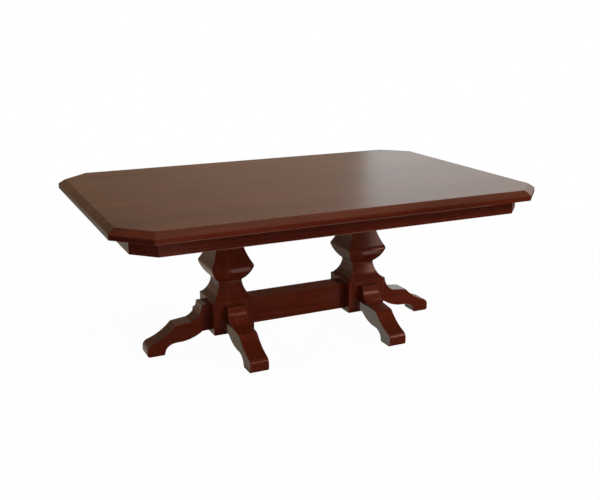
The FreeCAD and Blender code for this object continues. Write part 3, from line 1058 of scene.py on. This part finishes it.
@dataclass
class Pedestal:
    """A square post, sawn to one profile on its four faces, and its three legs.

    Attributes:
        side: the end of the table that it stands at.
        block_reveal: how far the post's block stands above the legs.
        arris: radius of the arrises.
        leg_corner: radius of the corners in a leg's outline.
        housing: how far a leg's end is let into the post.
        corner_share: radius of the post's upright arrises over its half-width.
    """

    side: Side
    block_reveal: float = 0.021
    arris: float = 0.0028
    leg_corner: float = 0.0045
    housing: float = 0.004
    corner_share: float = 0.028

    # Half-width over half the column's blank, height over the column above the block, and rise over
    # chord of the arc to the next point.
    PROFILE_SHARES = (
        (0.905, 0.0, -0.091),
        (0.549, 0.175, 0.0),
        (0.556, 0.188, 0.07),
        (0.957, 0.324, 0.157),
        (0.957, 0.373, -0.044),
        (0.585, 0.601, 0.0),
        (0.585, 0.739, -0.095),
        (0.905, 0.871, 0.0),
    )
    # Distance over the leg's length, height over the leg's, and rise over chord of the next arc: along
    # the underside to the toe and back over the top.
    LEG_SHARES = (
        (0.125, 0.405, 0.066),
        (0.448, 0.24, 0.0),
        (0.552, 0.235, -0.115),
        (0.707, 0.122, 0.0),
        (0.733, 0.0, 0.0),
        (0.972, 0.0, 0.15),
        (1.0, 0.054, 0.0),
        (1.0, 0.135, 0.15),
        (0.94, 0.275, -0.065),
        (0.572, 0.588, 0.1),
        (0.538, 0.617, 0.0),
        (0.303, 0.655, -0.154),
        (0.128, 1.0, 0.0),
    )
    # Heights of the housed end's lower and upper corner over the leg's.
    LEG_END_SHARES = (0.41, 1.0)

    def __post_init__(self) -> None:
        """Read the post's and the legs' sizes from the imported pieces."""
        self.low, self.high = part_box(f"post_{self.side}")
        self.column_half = (self.high.x - self.low.x) / 2.0
        self.axis = (self.low.x + self.high.x) / 2.0
        leg_low, leg_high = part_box(f"leg_{self.side}_front")
        self.half = -leg_high.y
        self.leg_length = leg_high.y - leg_low.y
        self.leg_thickness = leg_high.x - leg_low.x
        self.leg_low = leg_low.z
        self.leg_top = leg_high.z

    def build(self) -> None:
        """Make the post and its legs."""
        self._build_post()
        outer = math.pi if self.side is Side.LEFT else 0.0
        turns = {Way.OUTER: outer, Way.FRONT: -QUARTER_TURN, Way.BACK: QUARTER_TURN}
        for way, turn in turns.items():
            self._build_leg(way, turn)

    def _profile(self) -> list[Plan]:
        """Lay out the post's profile.

        Returns:
            Half-widths and heights from its foot to its top.
        """
        block_top = self.leg_top + self.block_reveal
        column = self.high.z - block_top
        block = [(0.0, self.low.z), (self.half, self.low.z), (self.half, block_top)]
        knots = [(self.column_half * w, block_top + column * z, rise) for w, z, rise in self.PROFILE_SHARES]
        top_block = [(self.column_half, knots[-1][1]), (self.column_half, self.high.z), (0.0, self.high.z)]
        points = block + through(knots) + top_block
        radii = [self.arris] * len(points)
        radii[0] = radii[-1] = 0.0
        return ease(points, radii)[1:-1]

    def _build_post(self) -> None:
        """Sweep the square section up the profile."""
        name = f"pedestal_post_{self.side}"
        grain = Grain.UPRIGHT
        sweep = SquareSweep(self.corner_share)
        mesh = sweep.mesh(name, self._profile(), self.axis, BASE_WOOD.material(grain))
        wooden_piece(name, mesh, BASE_WOOD, grain, [f"post_{self.side}"])

    def _leg_outline(self) -> list[Plan]:
        """Lay out a leg's side.

        Returns:
            Distances from the post's face and heights, with eased corners.
        """
        rise = self.leg_top - self.leg_low
        knots = [(self.leg_length * u, self.leg_low + rise * z, bend) for u, z, bend in self.LEG_SHARES]
        foot, head = (self.leg_low + rise * share for share in self.LEG_END_SHARES)
        points = [(-self.housing, foot), *through(knots), (-self.housing, head)]
        return ease(points, [self.leg_corner] * len(points))

    def _build_leg(self, way: Way, turn: float) -> None:
        """Make one leg: its outline through its thickness, with every arris eased.

        Args:
            way: the way it points.
            turn: the angle of that way from the table's length.
        """
        outline = self._leg_outline()
        half = self.leg_thickness / 2.0
        bends = [QUARTER_TURN * step / EASE_STEPS for step in range(EASE_STEPS + 1)]
        edge = [(self.arris * (1.0 - math.sin(b)), half - self.arris * (1.0 - math.cos(b))) for b in bends]
        layers = [(inset, -across) for inset, across in edge] + list(reversed(edge))
        out = Vector((math.cos(turn), math.sin(turn), 0.0))
        aside = Vector((-out.y, out.x, 0.0))
        face = Vector((self.axis, 0.0, 0.0)) + out * self.half
        rings = []
        for inset, across in layers:
            layer = shrink(outline, inset)
            rings.append([face + out * u + aside * across + Vector((0.0, 0.0, z)) for u, z in layer])
        name = f"pedestal_leg_{self.side}_{way}"
        grain = Grain.LENGTHWISE if way is Way.OUTER else Grain.ACROSS
        wooden_piece(name, skin(name, rings), BASE_WOOD, grain, [f"leg_{self.side}_{way}"])


@dataclass
class Stretcher:
    """The bar between the posts, with a stub tenon on either end.

    Attributes:
        tenon_width: the tenon's width.
        tenon_height: the tenon's height.
        tenon_length: how far it reaches into a post.
        arris: radius of the bar's arrises.
    """

    tenon_width: float = 0.046
    tenon_height: float = 0.090
    tenon_length: float = 0.045
    arris: float = 0.003

    def build(self) -> None:
        """Make the bar from one tenon's end to the other's."""
        low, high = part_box("stretcher")
        middle = (low.z + high.z) / 2.0
        shoulder = high.x - self.tenon_length
        bar = self._section(high.y - low.y, high.z - low.z)
        tenon = self._section(self.tenon_width, self.tenon_height)
        stations = [
            (low.x, tenon),
            (-shoulder, tenon),
            (-shoulder, bar),
            (shoulder, bar),
            (shoulder, tenon),
            (high.x, tenon),
        ]
        rings = [[Vector((x, y, middle + z)) for y, z in section] for x, section in stations]
        mesh = skin("stretcher_bar", rings)
        wooden_piece("stretcher_bar", mesh, BASE_WOOD, Grain.LENGTHWISE, ["stretcher"])

    def _section(self, width: float, height: float) -> list[Plan]:
        """Return a rectangle with eased corners, round its middle."""
        corners = [(width / 2.0 * a, height / 2.0 * b) for a, b in ((-1, -1), (1, -1), (1, 1), (-1, 1))]
        return ease(corners, [self.arris] * len(corners))


@dataclass
class UnderFrame:
    """The bearers, battens and braces under the top, and the dowels in the legs, finished in place."""

    CROSS_PIECES = ("bearer_left", "bearer_right", "batten_left", "batten_middle", "batten_right")
    RISING_CORNERS = ("front_right", "back_left")

    def build(self) -> None:
        """Give every piece its finish, with the grain along its length."""
        for name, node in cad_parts.items():
            if name in self.CROSS_PIECES:
                self._dress(node, INNER_WOOD.material(Grain.ACROSS))
            elif name.startswith("corner_brace"):
                rising = name.endswith(self.RISING_CORNERS)
                self._dress(node, INNER_WOOD.material(Grain.RISING if rising else Grain.FALLING))
            elif name.startswith("leg_dowels"):
                self._dress(node, DOWEL_WOOD.material(Grain.LENGTHWISE))

    @staticmethod
    def _dress(node: bpy.types.Object, material: bpy.types.Material) -> None:
        """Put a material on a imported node.

        Args:
            node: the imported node.
            material: its finish.
        """
        for slot in node.material_slots:
            slot.material = material
        LOG.info("%s: finished in place", node.name)


@dataclass
class Hardware:
    """The screws, bolts and glides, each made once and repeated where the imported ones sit.

    Attributes:
        screw_shank: a screw's diameter.
        screw_head: height of a screw's head.
        screw_tip: length of a screw's point.
        cross_width: width of a blade of the cross recess.
        cross_depth: depth of the cross recess.
        bolt_shank: a bolt's diameter.
        bolt_head: height of a bolt's head.
        bolt_chamfer: height of the chamfer on a bolt's end.
        glide_ease: height of a glide's eased edge.
        nail_recess: depth of the recess for a glide's nail.
    """

    screw_shank: float = 0.005
    screw_head: float = 0.004
    screw_tip: float = 0.006
    cross_width: float = 0.0014
    cross_depth: float = 0.002
    bolt_shank: float = 0.010
    bolt_head: float = 0.007
    bolt_chamfer: float = 0.0012
    glide_ease: float = 0.0012
    nail_recess: float = 0.0012

    # Radius at an eased or chamfered end over the full radius.
    EASED_SHARE = 0.86
    # Radius at a screw's point over its shank's.
    POINT_SHARE = 0.1
    # Span of the cross recess over its head, and of a nail's recess over its glide.
    CROSS_SHARE = 0.62
    NAIL_SHARE = 0.35

    def build(self) -> None:
        """Make every set of fasteners and the glides."""
        screw = (self._screw_tree(), self._screw_profile, PLATED_STEEL)
        for place in ("bearer", "batten", "brace"):
            self._build_set(f"{place}_screw_set", f"{place}_screws", *screw)
        bolt = (self._bolt_tree(), self._bolt_profile, PLATED_STEEL)
        glide = (self._glide_tree(), self._glide_profile, DARK_NYLON)
        for side in Side:
            self._build_set(f"bearer_bolt_set_{side}", f"bearer_bolts_{side}", *bolt)
            self._build_set(f"foot_glide_set_{side}", f"foot_glides_{side}", *glide)

    @staticmethod
    def _solids(node: str) -> list[tuple[Vector, Vector]]:
        """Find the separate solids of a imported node.

        Args:
            node: the node's name.

        Returns:
            The lower and the upper corner of each solid's box, in order.
        """
        shape = bmesh.new()
        shape.from_mesh(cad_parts[node].data)
        bmesh.ops.remove_doubles(shape, verts=shape.verts, dist=MERGE_DISTANCE)
        waiting = set(shape.verts)
        boxes = []
        while waiting:
            reached = [waiting.pop()]
            for point in reached:
                for edge in point.link_edges:
                    other = edge.other_vert(point)
                    if other in waiting:
                        waiting.remove(other)
                        reached.append(other)
            axes = list(zip(*(point.co for point in reached)))
            boxes.append((Vector([min(axis) for axis in axes]), Vector([max(axis) for axis in axes])))
        shape.free()
        return sorted(boxes, key=lambda box: tuple(box[0]))

    def _build_set(
        self,
        name: str,
        node: str,
        tree: bpy.types.NodeTree,
        profile: Callable[[float, float], list[Plan]],
        finish: PlainFinish,
    ) -> None:
        """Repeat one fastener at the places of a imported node's solids.

        Args:
            name: the new piece's name.
            node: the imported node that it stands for.
            tree: the fastener's geometry tree.
            profile: gives its outline from its radius and its length.
            finish: its finish.
        """
        boxes = self._solids(node)
        low, high = boxes[0]
        radius = (high.x - low.x) / 2.0
        length = high.z - low.z
        places = [Vector(((one.x + other.x) / 2.0, (one.y + other.y) / 2.0, one.z)) for one, other in boxes]
        sizes = {"Radius": radius, "Length": length, "Material": finish.material()}
        mesh = grow(name, spine(name, profile(radius, length), places=places), tree, sizes)
        mesh.shade_smooth()
        mesh.set_sharp_from_angle(angle=TURNED_SHARP)
        seat(link(name, mesh), [node])

    def _screw_profile(self, radius: float, length: float) -> list[Plan]:
        """Lay out a screw from the face of its head up to its point.

        Args:
            radius: its head's radius.
            length: its length.

        Returns:
            Half-widths and heights.
        """
        shank = self.screw_shank / 2.0
        crown = self.screw_head / 2.0
        head = [(radius * self.EASED_SHARE, 0.0), (radius, crown), (radius, self.screw_head)]
        stem = [(shank, self.screw_head), (shank, length - self.screw_tip)]
        return head + stem + [(shank * self.POINT_SHARE, length)]

    def _screw_tree(self) -> bpy.types.NodeTree:
        """Make the tree of a screw with a cross recess in its head.

        Returns:
            The tree.
        """
        shape = ShapeTree("wood_screw", {"Radius": "Float"})
        span = shape.inputs["Radius"] * (2.0 * self.CROSS_SHARE)
        screw = shape.turned()
        for along, across in (("X", "Y"), ("Y", "X")):
            reach = {along: span, across: self.cross_width, "Z": 2.0 * self.cross_depth}
            size = shape.node("ShaderNodeCombineXYZ", None, reach)
            screw = shape.cut(screw, shape.node("GeometryNodeMeshCube", None, {"Size": size}))
        return shape.close(shape.repeated(screw))

    def _bolt_profile(self, radius: float, length: float) -> list[Plan]:
        """Lay out a bolt from its chamfered end up to the turned face of its head.

        Args:
            radius: radius of its head's corners.
            length: its length.

        Returns:
            Half-widths and heights.
        """
        shank = self.bolt_shank / 2.0
        face = radius * self.EASED_SHARE
        seat_height = length - self.bolt_head / 2.0
        stem = [(shank * self.EASED_SHARE, 0.0), (shank, self.bolt_chamfer), (shank, seat_height)]
        return stem + [(face, seat_height), (face, length)]

    def _bolt_tree(self) -> bpy.types.NodeTree:
        """Make the tree of a bolt with a six-sided head.

        Returns:
            The tree.
        """
        shape = ShapeTree("hex_bolt", {"Radius": "Float", "Length": "Float"})
        flats = self.bolt_head - self.bolt_chamfer
        middle = shape.inputs["Length"] - (self.bolt_head - flats / 2.0)
        head = shape.prism(HEX_SIDES, shape.inputs["Radius"], flats, middle)
        return shape.close(shape.repeated(shape.joined(shape.turned(), head)))

    def _glide_profile(self, radius: float, length: float) -> list[Plan]:
        """Return a glide's outline from its eased face up to its seat."""
        return [(radius * self.EASED_SHARE, 0.0), (radius, self.glide_ease), (radius, length)]

    def _glide_tree(self) -> bpy.types.NodeTree:
        """Make the tree of a glide with the recess of its nail.

        Returns:
            The tree.
        """
        shape = ShapeTree("foot_glide", {"Radius": "Float"})
        radius = shape.inputs["Radius"] * self.NAIL_SHARE
        recess = shape.prism(ROUND_SIDES, radius, 2.0 * self.nail_recess, 0.0)
        return shape.close(shape.repeated(shape.cut(shape.turned(), recess)))


@dataclass(frozen=True)
class Softbox:
    """A soft rectangular lamp, which glossy surfaces don't show.

    Attributes:
        name: the lamp's name.
        place: where it hangs.
        aim: the height above the floor's middle that it faces.
        size: its two sides.
        power: its power in watts.
    """

    name: str
    place: Triple
    aim: float
    size: Plan
    power: float

    def build(self) -> None:
        """Hang the lamp."""
        lamp = bpy.data.lights.new(self.name, "AREA")
        lamp.shape = "RECTANGLE"
        lamp.size, lamp.size_y = self.size
        lamp.energy = self.power
        holder = link(self.name, lamp)
        holder.visible_glossy = False
        holder.location = self.place
        way = Vector((0.0, 0.0, self.aim)) - Vector(self.place)
        holder.rotation_euler = way.to_track_quat("-Z", "Y").to_euler()


class Facing(Enum):
    """Which way a card faces; the value is the way along it and the way up it."""

    FRONT = ((1.0, 0.0, 0.0), (0.0, 0.0, 1.0))
    BACK = ((-1.0, 0.0, 0.0), (0.0, 0.0, 1.0))
    RIGHT = ((0.0, 1.0, 0.0), (0.0, 0.0, 1.0))
    FRONT_LEFT = ((0.83205, -0.5547, 0.0), (0.0, 0.0, 1.0))
    UP = ((1.0, 0.0, 0.0), (0.0, 1.0, 0.0))
    DOWN = ((0.0, 1.0, 0.0), (1.0, 0.0, 0.0))


@dataclass(frozen=True)
class Card:
    """A card of the studio that only reflections see.

    Attributes:
        name: the card's name.
        facing: the way it faces.
        corner: the corner where it starts.
        size: its reach along and up.
        glow: the colour and brightness that it shows.
        far_glow: the same at its far end, where it differs.
    """

    name: str
    facing: Facing
    corner: Triple
    size: Plan
    glow: Colour
    far_glow: Colour | None = None

    def build(self) -> None:
        """Hang the card."""
        along, up = (Vector(way) * reach for way, reach in zip(self.facing.value, self.size))
        mesh = sheet(self.name, Vector(self.corner), along, up)
        paint = mesh.color_attributes.new("glow", "FLOAT_COLOR", "POINT")
        near = opaque(self.glow)
        far = opaque(self.far_glow or self.glow)
        paint.data.foreach_set("color", near + far + far + near)
        mesh.materials.append(painted(self.name, self._fill))
        card = link(self.name, mesh)
        card.visible_camera = False
        card.visible_diffuse = False
        card.visible_shadow = False
        card.visible_transmission = False

    def _fill(self, graph: Graph) -> None:
        """End the card's material in its glow."""
        graph.surface(self._light(graph))

    @staticmethod
    def _light(graph: Graph) -> Wire:
        """Return the shader of the painted glow."""
        tint = graph.node("ShaderNodeAttribute", {"attribute_name": "glow"}, output="Color")
        return graph.node("ShaderNodeEmission", None, {"Color": tint, "Strength": 1.0})


@dataclass(frozen=True)
class Accent(Card):
    """A card that is clear from behind, so that only what it faces mirrors it."""

    def _fill(self, graph: Graph) -> None:
        """End the card's material in its glow, or in nothing from behind.

        Args:
            graph: the empty graph.
        """
        behind = graph.node("ShaderNodeNewGeometry", output="Backfacing")
        clear = graph.node("ShaderNodeBsdfTransparent")
        sides = {0: behind, 1: self._light(graph), 2: clear}
        graph.surface(graph.node("ShaderNodeMixShader", None, sides))


# Colours that more than one card shows, and those of the right-hand wall.
DARK = (0.012, 0.008, 0.006)
GLOW = (0.95, 0.74, 0.68)
WALL = (0.18, 0.165, 0.1)
CEILING = (0.2, 0.17, 0.14)
DAYLIGHT = (1.1, 1.19, 1.16)
WARM = (0.46, 0.32, 0.18)


@dataclass
class Studio:
    """A pale floor, soft lamps, reflection cards and the camera.

    Attributes:
        floor_reach: half the floor's side.
        floor_albedo: how pale the floor is.
        floor_lift: share of plain white that the camera sees in the floor.
        fade_start: how far from the table the floor starts to fade to white.
        fade_end: how far from the table it is all white.
        sky: strength of the light from all round.
        camera_place: where the camera stands.
        camera_yaw: its turn to the right of +Y.
        camera_pitch: its tilt below the horizon.
        focal_length: its lens in millimetres.
    """

    floor_reach: float = 60.0
    floor_albedo: float = 0.8
    floor_lift: float = 0.975
    fade_start: float = 1.2
    fade_end: float = 3.5
    sky: float = 0.22
    camera_place: Triple = (-1.644532, -3.545694, 1.543069)
    camera_yaw: float = 0.441836
    camera_pitch: float = 0.280407
    focal_length: float = 49.603

    LAMPS = (
        Softbox("key_softbox", (4.4, -7.2, 5.1), 0.4, (3.0, 3.0), 435.0),
        Softbox("low_softbox", (-0.6, -5.2, 0.9), 0.4, (2.0, 1.2), 29.0),
        Softbox("overhead_softbox", (0.2, 0.3, 3.3), 0.7, (2.6, 2.0), 41.0),
        Softbox("left_softbox", (-3.8, 2.8, 2.2), 0.5, (2.4, 2.0), 30.0),
        Softbox("back_softbox", (2.2, 4.4, 2.4), 0.5, (2.4, 2.4), 40.0),
    )
    # The room that the finish mirrors: walls, floor, ceiling and a bright strip at the near corner.
    ROOM = (
        Card("front_card", Facing.FRONT, (-3.5, -1.7, 0.0), (8.0, 3.0), DARK),
        Card("left_front_card", Facing.RIGHT, (-2.4, -1.7, 0.0), (1.5, 1.4), DARK),
        Card("front_floor_card", Facing.UP, (-6.0, -6.0, 0.001), (12.0, 5.95), DARK),
        Card("back_floor_card", Facing.DOWN, (-6.0, -0.05, 0.001), (6.05, 7.2), (0.5, 0.46, 0.35), DARK),
        Card("right_floor_card", Facing.UP, (1.2, -0.05, 0.001), (8.0, 6.05), (0.2, 0.14, 0.11)),
        Card("swell_shade_card", Facing.UP, (-0.3, 0.45, 0.002), (0.95, 0.8), (0.4, 0.35, 0.28), DARK),
        Card("far_left_card", Facing.FRONT, (-9.0, 6.0, 0.0), (8.0, 5.5), WALL),
        Card("left_flare_card", Facing.FRONT, (-4.4, 5.9, 0.0), (1.9, 1.15), (0.42, 0.33, 0.22)),
        Card("back_card", Facing.FRONT, (-1.0, 6.0, 0.0), (4.85, 5.5), WALL, (0.4, 0.38, 0.3)),
        Card("right_card", Facing.FRONT_LEFT, (3.85, 6.0, 0.0), (7.2111, 5.5), DAYLIGHT, WARM),
        Card("ceiling_card", Facing.UP, (0.9, -1.7, 3.4), (4.1, 7.7), CEILING),
        Card("ceiling_fade_card", Facing.UP, (-0.3, -1.7, 3.4), (1.2, 7.7), DARK, CEILING),
        Card("dark_ceiling_card", Facing.UP, (-4.0, -1.7, 3.4), (3.7, 7.7), DARK),
        Card("corner_card", Facing.FRONT, (-1.65, -1.6, 0.1), (0.35, 0.6), (1.5, 1.4, 1.3)),
    )
    # Small cards, each for one face of the table.
    ACCENTS = (
        Accent("flare_card", Facing.BACK, (0.63, -0.3, 0.5), (0.11, 0.2), (4.0, 3.0, 2.5), (0.8, 0.6, 0.5)),
        Accent("left_window_card", Facing.DOWN, (0.03, -2.2, 0.75), (1.2, 0.14), (3.4, 1.8, 1.2)),
        Accent("right_window_card", Facing.DOWN, (0.9, -2.2, 0.75), (1.3, 0.32), (5.2, 3.2, 2.4)),
        Accent("apron_end_card", Facing.BACK, (-0.21, -1.69, 0.15), (0.45, 0.2), DARK, (1.0, 0.56, 0.38)),
        Accent("left_toe_side_card", Facing.RIGHT, (-0.412, -0.46, 0.0), (0.36, 0.13), (0.4, 0.38, 0.28)),
        Accent("right_toe_side_card", Facing.RIGHT, (0.304, -0.46, 0.0), (0.36, 0.13), (0.85, 0.92, 0.78)),
        Accent("right_cove_card", Facing.BACK, (0.51, -0.2, 0.31), (0.075, 0.065), (5.2, 3.1, 2.4), DARK),
        Accent("leg_flag_card", Facing.DOWN, (0.45, -0.3, 0.499), (0.1, 0.25), DARK),
        Accent("left_swell_card", Facing.UP, (-0.335, -0.17, 0.3), (0.1, 0.045), GLOW),
        Accent("right_swell_card", Facing.UP, (0.385, -0.17, 0.3), (0.1, 0.045), GLOW),
        Accent("neck_flag_card", Facing.BACK, (0.8, -0.5, 0.4), (1.1, 0.22), DARK),
        Accent("edge_line_card", Facing.UP, (-0.88, -0.74, 0.42), (1.78, 0.18), (3.2, 2.5, 2.0)),
        Accent("stretcher_card", Facing.FRONT, (0.0, 0.66, 0.27), (0.72, 0.35), (0.12, 0.05, 0.03)),
    )

    def build(self) -> None:
        """Set the studio up."""
        self._build_floor()
        self._build_world()
        for item in (*self.LAMPS, *self.ROOM, *self.ACCENTS):
            item.build()
        self._build_camera()
        bpy.context.scene.view_settings.view_transform = "Standard"

    @staticmethod
    def _seen(graph: Graph) -> Wire:
        """Find the rays that show a surface.

        Args:
            graph: the surface's graph.

        Returns:
            1 where the camera, a reflection or clear glass sees the surface, and 0 elsewhere.
        """
        path = graph.node("ShaderNodeLightPath").socket.node.outputs
        rays = ("Is Camera Ray", "Is Glossy Ray", "Is Transmission Ray")
        camera, glossy, clear = (Wire(graph, path[ray]) for ray in rays)
        return graph.span(camera + glossy + clear, 0.0, 1.0)

    def _build_floor(self) -> None:
        """Lay the pale floor, which keeps the table's shadow."""
        side = 2.0 * self.floor_reach
        corner = Vector((-self.floor_reach, -self.floor_reach, 0.0))
        mesh = sheet("studio_floor", corner, Vector((side, 0.0, 0.0)), Vector((0.0, side, 0.0)))
        mesh.materials.append(painted("studio_floor", self._fill_floor))
        link("studio_floor", mesh)

    def _fill_floor(self, graph: Graph) -> None:
        """Write the floor's nodes.

        Args:
            graph: the empty graph.
        """
        matt = graph.node("ShaderNodeBsdfDiffuse", None, {"Color": opaque((self.floor_albedo,) * 3)})
        white = graph.node("ShaderNodeEmission", None, {"Color": opaque(WHITE), "Strength": 1.0})
        spot = graph.node("ShaderNodeTexCoord", output="Object")
        away = graph.node("ShaderNodeVectorMath", {"operation": "LENGTH"}, {0: spot}, output="Value")
        lift = self.floor_lift + graph.span(away, self.fade_start, self.fade_end) * (1.0 - self.floor_lift)
        sides = {0: self._seen(graph) * lift, 1: matt, 2: white}
        graph.surface(graph.node("ShaderNodeMixShader", None, sides))

    def _build_world(self) -> None:
        """Light the studio evenly, and show it white."""
        world = bpy.data.worlds.new("studio")
        world.use_nodes = True
        graph = Graph(world.node_tree)
        strength = self.sky + self._seen(graph) * (1.0 - self.sky)
        sky = graph.node("ShaderNodeBackground", None, {"Color": opaque(WHITE), "Strength": strength})
        graph.surface(sky, "ShaderNodeOutputWorld")
        bpy.context.scene.world = world

    def _build_camera(self) -> None:
        """Stand the camera where the table was photographed from."""
        lens = bpy.data.cameras.new("camera")
        lens.sensor_width = SENSOR_WIDTH
        lens.lens = self.focal_length
        camera = link("camera", lens)
        camera.location = self.camera_place
        camera.rotation_euler = (QUARTER_TURN - self.camera_pitch, 0.0, -self.camera_yaw)
        bpy.context.scene.camera = camera


def main() -> None:
    """Build the table piece by piece, then its studio."""
    logging.basicConfig(level=logging.INFO, format="%(name)s: %(message)s")
    pedestals = [Pedestal(side) for side in Side]
    for assembly in (TopAndRim(), *pedestals, Stretcher(), UnderFrame(), Hardware(), Studio()):
        LOG.info("building %s", assembly)
        assembly.build()


if __name__ == "__main__":
    main()
